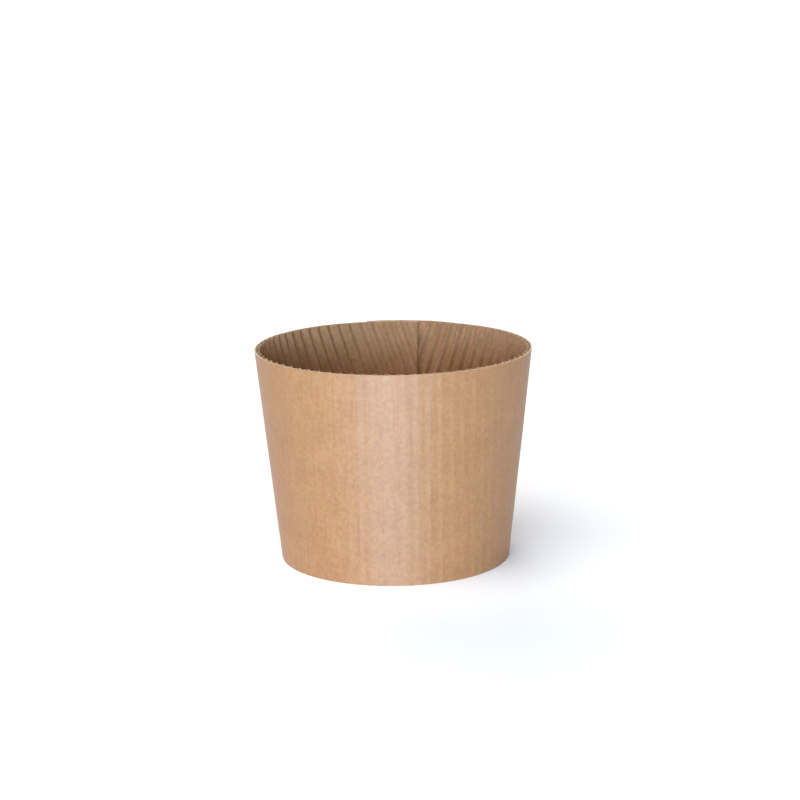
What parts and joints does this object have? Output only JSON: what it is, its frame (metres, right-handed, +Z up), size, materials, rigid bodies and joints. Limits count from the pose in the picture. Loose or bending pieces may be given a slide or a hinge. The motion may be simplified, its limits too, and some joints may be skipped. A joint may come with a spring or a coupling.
{
  "type": "coffee cup sleeve",
  "caption": "Conical sleeve of fluted kraft board, open at top and bottom and lapped and glued at the back, that slides up a hot paper cup to insulate the hand.",
  "frame": {"origin": "on the cone's axis, in the plane of the lower edge", "axes": "+Z up along the cone's axis towards the wide end, -Y towards the plain front, +Y towards the glued lap"},
  "size_m": [0.0738, 0.0748, 0.057],
  "materials": {
    "kraft_board": "uncoated brown kraft board, matt with a soft sheen across the flutes"
  },
  "bodies": {
    "root": {"cup_sleeve": "kraft_board"}
  },
  "joints": []
}
